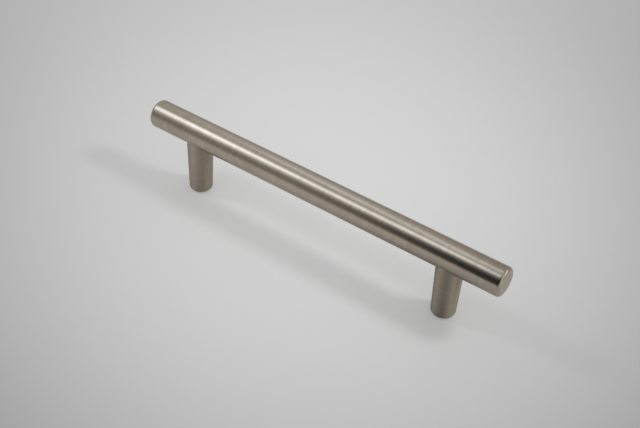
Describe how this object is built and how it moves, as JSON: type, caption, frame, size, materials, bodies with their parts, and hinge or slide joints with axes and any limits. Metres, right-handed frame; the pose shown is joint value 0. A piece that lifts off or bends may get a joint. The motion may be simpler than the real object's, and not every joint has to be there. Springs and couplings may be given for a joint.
{
  "type": "bridge pull handle",
  "caption": "Straight round-bar bridge pull on tapered round posts, each tapped in the foot for a machine screw through the door, in satin nickel.",
  "frame": {"origin": "on the door's face, midway between the two tapped feet", "axes": "+X along the bar, +Y across it, +Z away from the door, from the feet to the bar"},
  "size_m": [0.176, 0.0126, 0.0365],
  "materials": {
    "satin_nickel": "satin nickel plate over steel, brushed around the bar",
    "screw_steel": "zinc plated"
  },
  "bodies": {
    "root": {"bar": "satin_nickel", "left_post": "satin_nickel", "right_post": "satin_nickel", "left_stud": "screw_steel", "right_stud": "screw_steel"}
  },
  "joints": []
}
